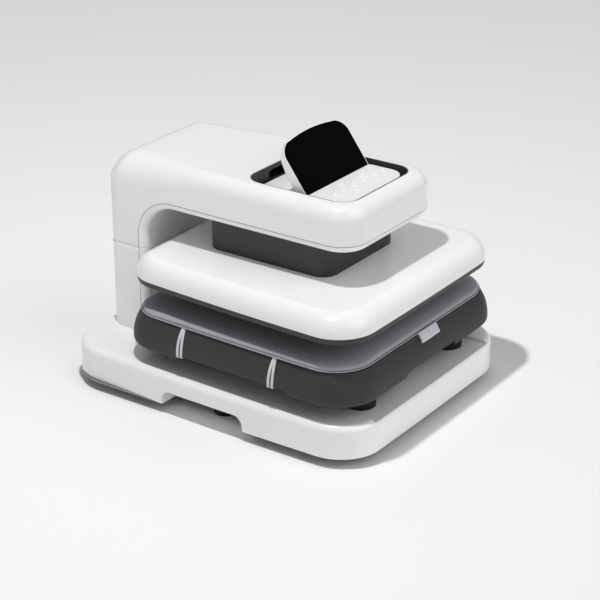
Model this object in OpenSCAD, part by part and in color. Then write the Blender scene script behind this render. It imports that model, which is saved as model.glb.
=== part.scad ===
// Flat heat press: a C-shaped stand that drives a heated platen down onto a padded pull-out tray.
// Origin on the table under the middle of the base, +X to the operator's right, +Y to the back, +Z up.

/* [Base] */
// Width of the base
base_w = 416.6; // [410:0.1:440]
// Depth of the base, front to back
base_d = 519.5; // [515:0.1:560]
// Height of the base cover
base_h = 50; // [46:0.5:56]
// Plan corner radius of the base
base_r = 68; // [60:1:84]
// Fillet round the top of the base
base_edge_r = 10; // [6:0.5:14]
// Height of the rubber feet
foot_h = 14; // [8:0.5:18]
// Diameter of the rubber feet
foot_d = 36; // [24:1:44]
// Width of the sunk slideway in the base top
slideway_w = 304; // [300:1:330]
// Depth of the sunk slideway
slideway_depth = 4; // [2:0.5:6]
// Length of the hand grip in each side of the base
grip_l = 146; // [100:1:180]
// Height of the hand grip
grip_h = 23; // [18:0.5:28]
// How far the hand grip reaches in
grip_deep = 34; // [25:1:45]
// Upper corner radius of the hand grip
grip_r = 16; // [8:0.5:17]

/* [Column and arm] */
// Wall of the moulded covers
shell_t = 3; // [2:0.25:4]
// Width of the column and the arm
frame_w = 226.2; // [224:0.1:236]
// Step from the back of the base to the back of the column
column_inset = 27; // [24:0.5:36]
// Depth of the column, front to back
column_d = 62; // [60:0.5:70]
// Height of the arm's top above the underside of the base
press_h = 322.4; // [320:0.1:340]
// Height of the arm, top to underside
arm_h = 65.9; // [64:0.1:68]
// Reach of the arm in front of the column
arm_reach = 360.5; // [355:0.5:370]
// Plan corner radius at the front of the arm
arm_front_r = 42; // [34:1:50]
// Plan corner radius at the back of the column
column_back_r = 28; // [26:1:36]
// Fillet round the top of the arm
arm_top_r = 22; // [14:0.5:24]
// Radius of the throat's inner corner
throat_r = 50; // [40:1:60]
// Edge rounding of the throat liner
liner_r = 11; // [8:0.5:12]
// Height of the column seam above the underside of the base
seam_z = 183.3; // [150:0.1:190]
// Height of the seam band
seam_h = 6.7; // [4:0.1:9]
// Depth of the seam band
seam_in = 1.2; // [0.6:0.1:1.6]

/* [Control well] */
// Width of the control well in the arm's top
well_w = 175; // [172:0.1:178]
// Length of the control well
well_d = 179; // [176:0.5:186]
// Rim in front of the control well
well_front = 21.7; // [20:0.1:26]
// Plan corner radius of the control well
well_r = 30; // [26:1:36]
// Depth of the control well
well_depth = 21.4; // [21.4:0.1:22]
// Wall of the tub that lines the control well
tub_t = 2; // [1.5:0.25:3]
// How far the key panel and the closed display lie below the arm's top
key_drop = 5; // [4:0.25:6]
// Width of the key panel
key_w = 156; // [146:1:158]
// Depth of the key panel, front to back
key_d = 62.9; // [60:0.1:66]
// Dark gap between the key panel and the front of the well
key_gap = 10; // [6:0.5:14]
// Front corner radius of the key panel
key_r = 25; // [15:1:30]

/* [Display] */
// Width of the display
display_w = 157; // [146:0.1:158]
// Length of the display above its hinge
display_l = 82; // [78:0.1:88]
// Thickness of the display
display_t = 14; // [12:0.25:14]
// Upper corner radius of the display
display_r = 24; // [12:1:36]
// Tilt of the raised display from level
display_tilt = 53.5; // [40:0.5:70]
// Distance of the hinge axis behind the glass
hinge_in = 5.5; // [5:0.1:6]
// Diameter of the hinge pins
hinge_pin_d = 3; // [2.5:0.1:3.5]
// Thickness of the display glass
glass_t = 1.2; // [0.8:0.1:2]

/* [Platen] */
// Gap between the platen and the column
platen_gap = 17.95; // [14:0.05:24]
// Width and depth of the platen cover
platen_w = 400; // [396:1:410]
// Plan corner radius of the platen
platen_r = 58; // [50:1:80]
// Height of the platen cover's lower edge above the underside of the base
platen_z = 174.8; // [174:0.1:178]
// Height of the platen cover
platen_h = 30.2; // [29:0.1:34]
// Rounded shoulder of the platen cover
platen_edge_r = 27; // [18:0.5:28]
// Height of the dark rim under the platen cover
rim_h = 9.8; // [8:0.1:10.5]
// Width of the dark rim
rim_t = 8; // [6:0.25:9]
// Thickness of the heat plate
heat_t = 12; // [10:0.25:12.5]
// Diameter of the heating element tube
element_d = 8; // [6:0.25:8]
// Thickness of the insulation mat
mat_t = 7; // [4:0.25:7.5]
// Width of the shroud above the platen
shroud_w = 180; // [172:0.5:182]
// Depth of the shroud
shroud_d = 212; // [204:0.5:216]
// Reach of the shroud in front of the press axis
shroud_front = 89.5; // [84:0.5:92]
// Plan corner radius of the shroud
shroud_r = 24; // [14:1:30]

/* [Lift] */
// Diameter of the lift screw
screw_d = 16; // [12:0.5:18]
// Diameter of the guide rods
rod_d = 12; // [8:0.5:14]
// Sideways distance between the guide rods
rod_span_x = 104; // [102:1:106]
// Front-to-back distance between the guide rods
rod_span_y = 48; // [44:1:50]
// Height of the gearbox
gearbox_h = 30; // [26:0.5:30]
// Radial running clearance of shafts and pins
run_clear = 0.05; // [0.02:0.01:0.1]

/* [Tray] */
// Width and depth of the tray
tray_w = 408.6; // [400:0.2:412]
// Plan corner radius of the tray
tray_r = 69; // [68:1:80]
// Gap between the tray and the column
tray_gap = 15.95; // [12:0.05:22]
// Height of the tray's lower edge above the underside of the base
tray_z = 74; // [72:0.5:76]
// Height of the tray
tray_h = 48; // [44:0.5:48]
// Radius of the tray's sloping shoulder
tray_shoulder_r = 65; // [50:1:80]
// Height of the upright part of the tray's wall
tray_wall_h = 10; // [9:0.5:14]
// Height of the long arch in each side of the tray
side_arch_h = 9; // [5:0.5:9]
// Length of the long arch in each side of the tray
side_arch_l = 216; // [180:1:230]
// Height of the finger arch in the front and back of the tray
front_arch_h = 11; // [6:0.5:13]
// Length of the finger arch
front_arch_l = 140; // [100:1:160]
// Diameter of the rubber feet under the tray
tray_foot_d = 45; // [36:0.5:48]
// Sideways distance between the tray's feet
tray_foot_x = 234; // [230:1:240]
// Front-to-back distance between the tray's feet
tray_foot_y = 324; // [310:1:328]
// Sideways distance between the slide rails
rail_span = 120; // [100:1:140]

/* [Pad] */
// How far the pad lies inside the tray's outline
pad_in = 12.8; // [12.5:0.1:18]
// Thickness of the pad at its crown
pad_t = 11; // [8:0.25:11]
// Plan corner radius of the pad
pad_r = 62; // [50:1:75]
// How far the pad's sides draw in between the corners
pad_pull = 1.2; // [0:0.1:3]
// Width of one elastic strap
strap_w = 5; // [3:0.25:7]
// Thickness of the elastic straps and the label
ribbon_t = 1; // [0.6:0.1:1.4]
// Width of the sewn label
label_w = 48; // [30:1:60]

/* [Hidden] */
$fn = 96;
edge_fn = 96;
core_lap = 2;
seat_gap = 0.4;
white = [0.93, 0.93, 0.94];
dark_grey = [0.24, 0.24, 0.25];
charcoal = [0.24, 0.23, 0.24];
black = [0.06, 0.06, 0.06];
steel = [0.62, 0.63, 0.65];
zinc = [0.75, 0.76, 0.78];
board_green = [0.1, 0.35, 0.2];
lavender = [0.6, 0.59, 0.64];

// Heights of the base and the slideway
base_top = foot_h + base_h;
way_z = base_top - slideway_depth;
under_way = way_z - shell_t;
plate_t = 2;
plate_top = foot_h + plate_t;

// Places of the column, the arm and the throat
col_back = base_d / 2 - column_inset;
col_front = col_back - column_d;
part_y = col_front + liner_r;
arm_front = col_front - arm_reach;
arm_top = foot_h + press_h;
arm_bot = arm_top - arm_h;
part_z = arm_bot + liner_r;
seam_bot = foot_h + seam_z;
seam_top = seam_bot + seam_h;
seam_mid = (seam_bot + seam_top) / 2;
throat_y = col_front - throat_r;
throat_z = arm_bot - throat_r;
way_back = col_front - 12;
press_y = col_front - platen_gap - platen_w / 2;
tray_y = col_front - tray_gap - tray_w / 2;

// Steel frame
frame_plate_t = 5;
frame_plate_x = 98;
tube_w = 30;
tube_wall = 3;
tube_x = frame_plate_x + frame_plate_t;
tube_front = -base_d / 2 + 25;
tube_back = base_d / 2 - 16;
arm_plate_t = 4;
well_floor = arm_top - well_depth;
well_under = well_floor - tub_t;
tub_boss_h = 3;
arm_plate_top = well_under - tub_boss_h;
arm_plate_z = arm_plate_top - arm_plate_t;
frame_bar_h = arm_plate_top - part_z;
frame_front = arm_front + 50;
bar_front = part_y + 3;
corner_in = frame_plate_x + frame_plate_t - frame_w / 2 + column_back_r;
bar_back = col_back - column_back_r + sqrt((column_back_r - shell_t) ^ 2 - corner_in ^ 2) - 1;
frame_corner_r = 40;

// Control well
well_y0 = arm_front + well_front;
well_y1 = well_y0 + well_d;
tub_gap = 0.2;
tub_flange = 5;
key_top = arm_top - key_drop;
hinge_z = key_top - hinge_in;
rest_plate_t = 2;
key_y0 = well_y0 + key_gap;
key_y1 = key_y0 + key_d;
hinge_y = key_y1 + seat_gap + hinge_in;
lug_t = 4;
lug_gap = 0.6;

// Platen stack, from the heat plate up
platen_edge = foot_h + platen_z;
platen_top = platen_edge + platen_h;
rim_bot = platen_edge - rim_h;
rim_in = 1;
heat_in = rim_in + rim_t + 0.5;
heat_bot = rim_bot - 0.5;
heat_top = heat_bot + heat_t;
mat_bot = heat_top + element_d + 0.6;
carriage_z = mat_bot + mat_t;
carriage_t = 4;
carriage_top = carriage_z + carriage_t;
roof_under = platen_top - shell_t;
standoff_at = platen_w / 2 - 50;
standoff_d = 14;
shroud_top = arm_plate_z - seat_gap;
shroud_y0 = press_y - shroud_front;
shroud_y1 = shroud_y0 + shroud_d;

// Lift
gearbox_w = 64;
gearbox_z = arm_plate_z - gearbox_h;
motor_d = gearbox_h - 1;
motor_l = 70;
bridge_t = 6;
bridge_z = platen_top + 31;
bridge_top = bridge_z + bridge_t;
bridge_x = 70;
bridge_y = 38;
upright_t = 4;
bush_d = rod_d + 8;
bush_flange_d = rod_d + 14;
nut_d = screw_d + 10;
nut_flange_d = screw_d + 22;
lift_low = platen_top - 1;
journal_d = screw_d - 4;

// Tray and pad
tray_bot = foot_h + tray_z;
tray_top = tray_bot + tray_h;
shoulder_z = tray_bot + tray_wall_h;
tray_edge_r = 8;
leg_d = tray_foot_d + 5;
tray_board_t = 3;
tray_board_z = tray_top - shell_t - tray_board_t;
rail_h = 19;
rail_top = way_z + rail_h;
rail_flange_w = 24;
rail_web_w = 6;
rail_flange_t = 3;
rail_front = tray_y - 110;
runner_l = 280;
runner_back = tray_y + tray_w / 2 - 20;
ribbon_gap = 0.5;
pad_w = tray_w - 2 * pad_in;

// Square corner outside a round, to cut a fillet
module fillet_cut(r) {
    difference() {
        square(r + 1);
        circle(r, $fn = edge_fn);
    }
}

// Wall section: x is 0 on the outline and negative inwards, y is the height
module edge_section(depth, z0, z1, top_r = 0, bottom_r = 0, inset = 0) {
    difference() {
        translate([-depth, z0]) square([depth - inset, z1 - z0]);
        if (top_r > 0)
            translate([-inset - top_r, z1 - top_r]) fillet_cut(top_r);
        if (bottom_r > 0)
            translate([-inset - bottom_r, z0 + bottom_r]) mirror([0, 1]) fillet_cut(bottom_r);
    }
}

// Slab with its own corner radius at the front and at the back, and filleted edges
module slab(w, y0, y1, front_r, back_r, z0, z1, top_r = 0, bottom_r = 0) {
    for (sx = [0, 1]) mirror([sx, 0, 0]) {
        translate([w / 2 - front_r, y0 + front_r]) rotate(-90) rotate_extrude(angle = 90)
            translate([front_r, 0]) edge_section(front_r, z0, z1, top_r, bottom_r);
        translate([w / 2 - back_r, y1 - back_r]) rotate_extrude(angle = 90)
            translate([back_r, 0]) edge_section(back_r, z0, z1, top_r, bottom_r);
        translate([w / 2, y1 - back_r]) rotate([90, 0, 0]) linear_extrude(y1 - back_r - y0 - front_r)
            edge_section(w / 2, z0, z1, top_r, bottom_r);
    }
    translate([w / 2 - front_r, y0]) rotate([90, 0, -90]) linear_extrude(w - 2 * front_r)
        edge_section(front_r, z0, z1, top_r, bottom_r);
    translate([back_r - w / 2, y1]) rotate([90, 0, 90]) linear_extrude(w - 2 * back_r)
        edge_section(back_r, z0, z1, top_r, bottom_r);
}

// Sweeps a wall section round a rounded rectangle; the first child is as deep as the corner radius
// and the second one reaches the middle
module straight_rim(w, y0, y1, r) {
    for (sx = [0, 1]) mirror([sx, 0, 0]) {
        translate([w / 2 - r, y0 + r]) rotate(-90) rotate_extrude(angle = 90)
            translate([r, 0]) children(0);
        translate([w / 2 - r, y1 - r]) rotate_extrude(angle = 90)
            translate([r, 0]) children(0);
        translate([w / 2, y1 - r]) rotate([90, 0, 0]) linear_extrude(y1 - y0 - 2 * r) children(1);
    }
    translate([w / 2 - r, y0]) rotate([90, 0, -90]) linear_extrude(w - 2 * r) children(0);
    translate([r - w / 2, y1]) rotate([90, 0, 90]) linear_extrude(w - 2 * r) children(0);
}

// Rounded rectangle in plan, from y0 to y1
module plan(w, y0, y1, r) {
    for (sx = [-1, 1])
        for (y = [y0 + r, y1 - r])
            translate([sx * (w / 2 - r), y]) circle(r);
    translate([-w / 2, y0 + r]) square([w, y1 - y0 - 2 * r]);
    translate([-w / 2 + r, y0]) square([w - 2 * r, y1 - y0]);
}

module plan_block(w, y0, y1, r, z0, z1) {
    translate([0, 0, z0]) linear_extrude(z1 - z0) plan(w, y0, y1, r);
}

module box(x0, x1, y0, y1, z0, z1) {
    translate([x0, y0, z0]) cube([x1 - x0, y1 - y0, z1 - z0]);
}

module rod(x, y, d, z0, z1) {
    translate([x, y, z0]) cylinder(d = d, h = z1 - z0);
}

module both_sides() {
    for (sx = [0, 1]) mirror([sx, 0, 0]) children();
}

// Shape extruded across the part, drawn as (y, z)
module across(x0, x1) {
    translate([x0, 0, 0]) rotate([90, 0, 90]) linear_extrude(x1 - x0) children();
}

// Trapezoid arch, drawn as (along, up) from its foot
module arch(l, h, slope) {
    polygon([[-l / 2, -1], [-l / 2, 0], [-l / 2 + slope, h], [l / 2 - slope, h], [l / 2, 0], [l / 2, -1]]);
}

// Base

tube_feet_y = [-180, 0, 180];
foot_x = 150;
foot_y = 200;
grip_wall = 3;
plate_in = shell_t + seat_gap;
base_screw_d = 4;
base_screw_head_d = 8;
base_screw_head_h = 2.5;
screw_play = 0.2;

// Outline of one hand grip, drawn as (y, z), grown by a wall
module grip_shape(wall) {
    translate([-grip_l / 2 - wall, foot_h - 1]) square([grip_l + 2 * wall, grip_h + 1 - grip_r]);
    translate([-grip_l / 2 + grip_r, foot_h]) square([grip_l - 2 * grip_r, grip_h + wall]);
    for (sy = [-1, 1])
        translate([sy * (grip_l / 2 - grip_r), foot_h + grip_h - grip_r]) circle(grip_r + wall);
}

module grips(wall) {
    both_sides() across(base_w / 2 - grip_deep - wall, base_w / 2 + 1) grip_shape(wall);
}

module base_cover() {
    color(white) difference() {
        slab(base_w, -base_d / 2, base_d / 2, base_r, base_r, foot_h, base_top, base_edge_r, 2);
        difference() {
            slab(base_w - 2 * shell_t, shell_t - base_d / 2, base_d / 2 - shell_t, base_r - shell_t,
                 base_r - shell_t, foot_h - 1, base_top - shell_t, base_edge_r - shell_t);
            plan_block(slideway_w + 2 * shell_t, -base_d, way_back + shell_t, 20, under_way, base_top);
            grips(grip_wall);
        }
        plan_block(slideway_w, -base_d, way_back, 20, way_z, base_top + 1);
        grips(0);
        box(-frame_w / 2 + 7, frame_w / 2 - 7, part_y, col_back - shell_t - 3, under_way, base_top + 1);
    }
}

module base_plate() {
    color(steel) difference() {
        plan_block(base_w - 2 * plate_in, plate_in - base_d / 2, base_d / 2 - plate_in, base_r - plate_in,
                   foot_h, plate_top);
        grips(grip_wall + seat_gap);
        both_sides() for (y = tube_feet_y)
            rod(tube_x + tube_w / 2, y, base_screw_d + 2 * screw_play, foot_h - 1, plate_top + 1);
    }
}

module base_feet() {
    color(black) both_sides() for (y = [-foot_y, 0, foot_y])
        translate([foot_x, y, 0]) cylinder(d1 = foot_d - 4, d2 = foot_d, h = foot_h);
}

module base_screws() {
    color(zinc) both_sides() for (y = tube_feet_y) {
        rod(tube_x + tube_w / 2, y, base_screw_d, foot_h - 0.5, plate_top + tube_wall + 3);
        rod(tube_x + tube_w / 2, y, base_screw_head_d, foot_h - base_screw_head_h, foot_h);
    }
}

bolt_d = 8;
bolt_head_d = 13;
bolt_head_h = 5;
bolt_z = (plate_top + under_way) / 2;
bolt_y = [col_front - 45, col_back - 30];

module base_tubes() {
    color(steel) both_sides() difference() {
        box(tube_x, tube_x + tube_w, tube_front, tube_back, plate_top, under_way);
        box(tube_x + tube_wall, tube_x + tube_w - tube_wall, tube_front - 1, tube_back + 1,
            plate_top + tube_wall, under_way - tube_wall);
        for (y = tube_feet_y)
            rod(tube_x + tube_w / 2, y, base_screw_d + 2 * screw_play, foot_h, plate_top + tube_wall + 1);
        for (y = bolt_y)
            translate([tube_x - 1, y, bolt_z]) rotate([0, 90, 0])
                cylinder(d = bolt_d + 2 * screw_play, h = tube_wall + 2);
    }
}

// Steel C-frame

module frame_plate() {
    difference() {
        across(frame_plate_x, frame_plate_x + frame_plate_t) difference() {
            union() {
                translate([frame_front, part_z]) square([bar_back - frame_front, frame_bar_h]);
                translate([bar_front, plate_top]) square([bar_back - bar_front, arm_plate_top - plate_top]);
                translate([col_front - 70, plate_top])
                    square([bar_back - col_front + 70, under_way - plate_top]);
                translate([bar_front - frame_corner_r, part_z - frame_corner_r])
                    square(frame_corner_r + 1);
            }
            translate([bar_front - frame_corner_r, part_z - frame_corner_r]) circle(frame_corner_r);
        }
        for (y = bolt_y)
            translate([frame_plate_x - 1, y, bolt_z]) rotate([0, 90, 0])
                cylinder(d = bolt_d + 2 * screw_play, h = frame_plate_t + 2);
    }
}

module frame_plate_right() {
    color(steel) frame_plate();
}

module frame_plate_left() {
    color(steel) mirror([1, 0, 0]) frame_plate();
}

module frame_bolts() {
    color(zinc) both_sides() for (y = bolt_y)
        translate([0, y, bolt_z]) rotate([0, 90, 0]) {
            translate([0, 0, frame_plate_x - bolt_head_h]) cylinder(d = bolt_head_d, h = bolt_head_h);
            translate([0, 0, frame_plate_x - 1])
                cylinder(d = bolt_d, h = frame_plate_t + tube_wall + 5);
        }
}

module arm_plate() {
    color(steel)
        box(-frame_plate_x, frame_plate_x, frame_front, bar_back, arm_plate_z, arm_plate_top);
}

column_plate_t = 4;
column_plate_z0 = foot_h + 125;

module column_plate() {
    color(steel) box(-frame_plate_x, frame_plate_x, bar_back - column_plate_t, bar_back,
                     column_plate_z0, arm_plate_z);
}

// Covers

// Throat outline, drawn as (y, z): everything in front of the column and under the arm
module throat_shape(grow) {
    r = throat_r + grow;
    translate([throat_y - base_d, -1]) square([base_d, throat_z + r + 1]);
    translate([throat_y - base_d, -1]) square([base_d + r, throat_z + 1]);
    translate([throat_y, throat_z]) circle(r);
}

module upper_cover() {
    color(white) difference() {
        slab(frame_w, arm_front, col_back, arm_front_r, column_back_r, seam_top, arm_top, arm_top_r);
        slab(frame_w - 2 * shell_t, arm_front + shell_t, col_back - shell_t, arm_front_r - shell_t,
             column_back_r - shell_t, seam_top - 1, arm_top - shell_t, arm_top_r - shell_t);
        across(-frame_w, frame_w) throat_shape(liner_r);
        plan_block(well_w, well_y0, well_y1, well_r, well_floor, arm_top + 1);
    }
}

inlet_w = 28;
inlet_h = 20;
inlet_x = -36;
switch_w = 22;
switch_h = 15;
switch_x = 36;
power_z = foot_h + 92;
panel_play = 0.2;

module lower_cover() {
    inner = col_back - shell_t;
    color(white) difference() {
        union() {
            slab(frame_w, part_y - 40, col_back, 20, column_back_r, base_top, seam_bot);
            slab(frame_w - 2 * seam_in, part_y - 40, col_back - seam_in, 20, column_back_r - seam_in,
                 seam_bot - 1, seam_top);
        }
        slab(frame_w - 2 * shell_t, part_y - 60, inner, 10, column_back_r - shell_t,
             base_top - 1, seam_top + 1);
        box(-frame_w, frame_w, part_y - 80, part_y, base_top - 1, seam_top + 1);
        box(inlet_x - inlet_w / 2 - panel_play, inlet_x + inlet_w / 2 + panel_play, inner - 1, col_back + 1,
            power_z - inlet_h / 2 - panel_play, power_z + inlet_h / 2 + panel_play);
        box(switch_x - switch_w / 2 - panel_play, switch_x + switch_w / 2 + panel_play, inner - 1,
            col_back + 1, power_z - switch_h / 2 - panel_play, power_z + switch_h / 2 + panel_play);
    }
}

// Section of the throat liner: x is 0 on the throat face and grows into the stand, y runs across
module liner_section() {
    difference() {
        union() {
            translate([0, liner_r - frame_w / 2]) square([liner_r, frame_w - 2 * liner_r]);
            for (sy = [-1, 1]) intersection() {
                translate([liner_r, sy * (frame_w / 2 - liner_r)]) circle(liner_r);
                translate([0, -frame_w]) square([liner_r, 2 * frame_w]);
            }
        }
        translate([shell_t, liner_r - frame_w / 2]) square([liner_r, frame_w - 2 * liner_r]);
        for (sy = [-1, 1])
            translate([liner_r, sy * (frame_w / 2 - liner_r)]) circle(liner_r - shell_t);
    }
}

module liner_column(z0, z1) {
    translate([col_front, 0, z0]) linear_extrude(z1 - z0) liner_section();
}

shroud_play = 1;

module throat_liner() {
    color(white) difference() {
        union() {
            intersection() {
                difference() {
                    slab(frame_w, arm_front, col_back, arm_front_r, column_back_r, arm_bot, part_z, 0, liner_r);
                    slab(frame_w - 2 * shell_t, arm_front + shell_t, col_back, arm_front_r - shell_t,
                         column_back_r, arm_bot + shell_t, part_z + 1, 0, liner_r - shell_t);
                }
                box(-frame_w, frame_w, arm_front - 1, throat_y, arm_bot - 1, part_z);
            }
            translate([0, throat_y, throat_z]) rotate([90, 0, 90])
                rotate_extrude(angle = 90) translate([throat_r, 0]) liner_section();
            rotate([0, 0, 90]) liner_column(seam_mid + seat_gap / 2, throat_z);
        }
        plan_block(shroud_w + 2 * shroud_play, shroud_y0 - shroud_play, shroud_y1 + shroud_play,
                   shroud_r + shroud_play, arm_bot - 1, part_z + 1);
    }
}

module column_liner() {
    color(white) rotate([0, 0, 90]) liner_column(base_top, seam_mid - seat_gap / 2);
}

// Control well

slot_d = 14;
slot_w = 52;

// Finger slot in the back wall of the tub, to lift the closed display
module finger_slot() {
    square([slot_w - slot_d, slot_d], center = true);
    for (sx = [-1, 1])
        translate([sx * (slot_w - slot_d) / 2, 0]) circle(d = slot_d);
}

module control_tub() {
    gap2 = 2 * tub_gap;
    color(dark_grey) {
        difference() {
            union() {
                plan_block(well_w - gap2, well_y0 + tub_gap, well_y1 - tub_gap, well_r - tub_gap,
                           well_under, arm_top - seat_gap);
                slab(well_w + 2 * tub_flange, well_y0 + well_r + 2, well_y1 + tub_flange, 4,
                     well_r + tub_flange, arm_top - 2 * shell_t, arm_top - shell_t);
            }
            plan_block(well_w - gap2 - 2 * tub_t, well_y0 + tub_gap + tub_t, well_y1 - tub_gap - tub_t,
                       well_r - tub_gap - tub_t, well_floor, arm_top + 1);
            translate([0, well_y1 + tub_t + 2, well_floor + 8]) rotate([90, 0, 0])
                linear_extrude(2 * tub_t + 4) finger_slot();
        }
        for (x = [-60, 60])
            for (y = [well_y0 + 30, well_y1 - 30])
                rod(x, y, 12, arm_plate_top, well_under);
        both_sides() difference() {
            union() {
                box(display_w / 2 + lug_gap, display_w / 2 + lug_gap + lug_t, hinge_y - 3, hinge_y + 3,
                    well_floor - 1, hinge_z);
                translate([display_w / 2 + lug_gap, hinge_y, hinge_z]) rotate([0, 90, 0])
                    cylinder(d = 8, h = lug_t);
            }
            translate([display_w / 2, hinge_y, hinge_z]) rotate([0, 90, 0])
                cylinder(d = hinge_pin_d + 2 * run_clear, h = 20);
        }
    }
}

module well_floor_plate() {
    color(white) slab(well_w - 14, hinge_y + 9, well_y1 - 8, 4, well_r - 6, well_floor,
                      well_floor + rest_plate_t);
}

key_wall = 2.5;

module key_panel() {
    color(white) difference() {
        slab(key_w, key_y0, key_y1, key_r, 4, well_floor, key_top, 1.5);
        slab(key_w - 2 * key_wall, key_y0 + key_wall, key_y1 - key_wall, key_r - key_wall, 1.5,
             well_floor - 1, key_top - key_wall);
    }
}

key_board_t = 1.6;

module key_board() {
    color(board_green) plan_block(key_w - 16, key_y0 + 8, key_y1 - 8, 12,
                                  key_top - key_wall - key_board_t, key_top - key_wall);
}

// Display, drawn lying open from its hinge axis: y runs up the display and z is out of the glass

module display_place() {
    translate([0, hinge_y, hinge_z]) rotate([display_tilt, 0, 0]) children();
}

glass_edge = 1;
pocket_w = 124;
pocket_y = [14, 74];
pocket_z = 5;
pin_in = 7;

module display_back() {
    color(white) display_place() difference() {
        union() {
            slab(display_w, 0, display_l, 2, display_r, hinge_in - display_t, hinge_in, 0, 1.5);
            translate([-display_w / 2, 0, 0]) rotate([0, 90, 0]) cylinder(r = hinge_in, h = display_w);
        }
        slab(display_w - 2 * glass_edge, glass_edge, display_l - glass_edge, 2, display_r - glass_edge,
             hinge_in - glass_t, hinge_in + 1);
        box(-pocket_w / 2, pocket_w / 2, pocket_y[0], pocket_y[1],
            hinge_in - glass_t - pocket_z, hinge_in);
        both_sides() translate([display_w / 2 - pin_in, 0, 0]) rotate([0, 90, 0])
            cylinder(d = hinge_pin_d + 2 * run_clear, h = pin_in + 1);
    }
}

module display_glass() {
    color(black) display_place()
        slab(display_w - 2 * glass_edge - 0.1, glass_edge + 0.05, display_l - glass_edge - 0.05, 2,
             display_r - glass_edge - 0.05, hinge_in - glass_t, hinge_in);
}

module display_module() {
    color(board_green) display_place()
        box(-pocket_w / 2 + 1, pocket_w / 2 - 1, pocket_y[0] + 1, pocket_y[1] - 1,
            hinge_in - glass_t - pocket_z, hinge_in - glass_t);
}

module hinge_pins() {
    color(steel) both_sides() translate([display_w / 2 - pin_in, hinge_y, hinge_z]) rotate([0, 90, 0])
        cylinder(d = hinge_pin_d, h = pin_in + lug_gap + lug_t);
}

// Lift drive

module lift_gearbox() {
    color(zinc) difference() {
        slab(gearbox_w, press_y - gearbox_w / 2, press_y + gearbox_w / 2, 8, 8, gearbox_z, arm_plate_z);
        rod(0, press_y, journal_d + 2 * run_clear, gearbox_z - 1, arm_plate_z - 4);
    }
}

module lift_motor() {
    color(dark_grey) translate([0, press_y + gearbox_w / 2, gearbox_z + gearbox_h / 2]) rotate([-90, 0, 0]) {
        cylinder(d = motor_d, h = motor_l);
        cylinder(d = motor_d / 3, h = motor_l + 4);
    }
}

module guide_rods() {
    color(steel) for (x = [-1, 1])
        for (y = [-1, 1])
            rod(x * rod_span_x / 2, press_y + y * rod_span_y / 2, rod_d, lift_low, arm_plate_z);
}

module lift_screw() {
    color(steel) {
        rod(0, press_y, screw_d, lift_low, gearbox_z - seat_gap);
        rod(0, press_y, journal_d, gearbox_z - 1, arm_plate_z - 4 - seat_gap);
    }
}

// Electrics in the column

power_board_y = bar_back - column_plate_t - 5;
power_board_z = [column_plate_z0 + 20, column_plate_z0 + 130];

module power_board() {
    color(board_green) {
        box(-75, 75, power_board_y - 1.6, power_board_y, power_board_z[0], power_board_z[1]);
        for (x = [-68, 68])
            for (z = [power_board_z[0] + 8, power_board_z[1] - 8])
                translate([x, power_board_y, z]) rotate([-90, 0, 0]) cylinder(d = 8, h = 5);
        box(-50, -14, power_board_y - 18, power_board_y - 1, power_board_z[0] + 14, power_board_z[0] + 48);
        box(20, 44, power_board_y - 14, power_board_y - 1, power_board_z[0] + 60, power_board_z[0] + 90);
        translate([26, power_board_y - 1, power_board_z[0] + 30]) rotate([90, 0, 0]) cylinder(d = 22, h = 16);
    }
}

inlet_flange = 2;
socket_w = 24;
socket_h = 16;
socket_deep = 17;
inlet_deep = 24;

module mains_inlet() {
    color(black) difference() {
        union() {
            box(inlet_x - inlet_w / 2, inlet_x + inlet_w / 2, col_back - inlet_deep, col_back + 1,
                power_z - inlet_h / 2, power_z + inlet_h / 2);
            box(inlet_x - inlet_w / 2 - inlet_flange, inlet_x + inlet_w / 2 + inlet_flange, col_back,
                col_back + inlet_flange, power_z - inlet_h / 2 - inlet_flange,
                power_z + inlet_h / 2 + inlet_flange);
        }
        box(inlet_x - socket_w / 2, inlet_x + socket_w / 2, col_back + inlet_flange - socket_deep,
            col_back + inlet_flange + 1, power_z - socket_h / 2, power_z + socket_h / 2);
    }
}

blade_l = 11;

module inlet_blades() {
    y0 = col_back + inlet_flange - socket_deep;
    color(zinc) for (p = [[-7, -2], [0, 2], [7, -2]])
        box(inlet_x + p[0] - 1, inlet_x + p[0] + 1, y0, y0 + blade_l, power_z + p[1] - 2, power_z + p[1] + 2);
}

rocker_w = 16;
rocker_h = 10;
rocker_r = 7;
rocker_play = 0.5;
rocker_tilt = 10;
rocker_y = col_back - 3;
rocker_pin_d = 2.4;

module switch_housing() {
    color(black) difference() {
        union() {
            box(switch_x - switch_w / 2, switch_x + switch_w / 2, col_back - 18, col_back + 1,
                power_z - switch_h / 2, power_z + switch_h / 2);
            box(switch_x - switch_w / 2 - 1.5, switch_x + switch_w / 2 + 1.5, col_back, col_back + 1.5,
                power_z - switch_h / 2 - 1.5, power_z + switch_h / 2 + 1.5);
        }
        box(switch_x - rocker_w / 2 - rocker_play, switch_x + rocker_w / 2 + rocker_play, col_back - 13,
            col_back + 2, power_z - rocker_h / 2 - 1.3, power_z + rocker_h / 2 + 1.3);
        translate([switch_x - rocker_w / 2 - 2, rocker_y, power_z]) rotate([0, 90, 0])
            cylinder(d = rocker_pin_d + 2 * run_clear, h = rocker_w + 4);
    }
}

// Rocker with two flats that meet at a shallow valley, on its own pin
module rocker() {
    half = rocker_h / 2;
    color(black) translate([0, rocker_y, power_z]) rotate([rocker_tilt, 0, 0]) {
        across(switch_x - rocker_w / 2, switch_x + rocker_w / 2) difference() {
            translate([-3, -half]) square([8, rocker_h]);
            polygon([[4, 0], [6, -half - 1], [6, half + 1]]);
        }
        translate([switch_x - rocker_w / 2 - 1.8, 0, 0]) rotate([0, 90, 0])
            cylinder(d = rocker_pin_d, h = rocker_w + 3.6);
    }
}

// Platen

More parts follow.
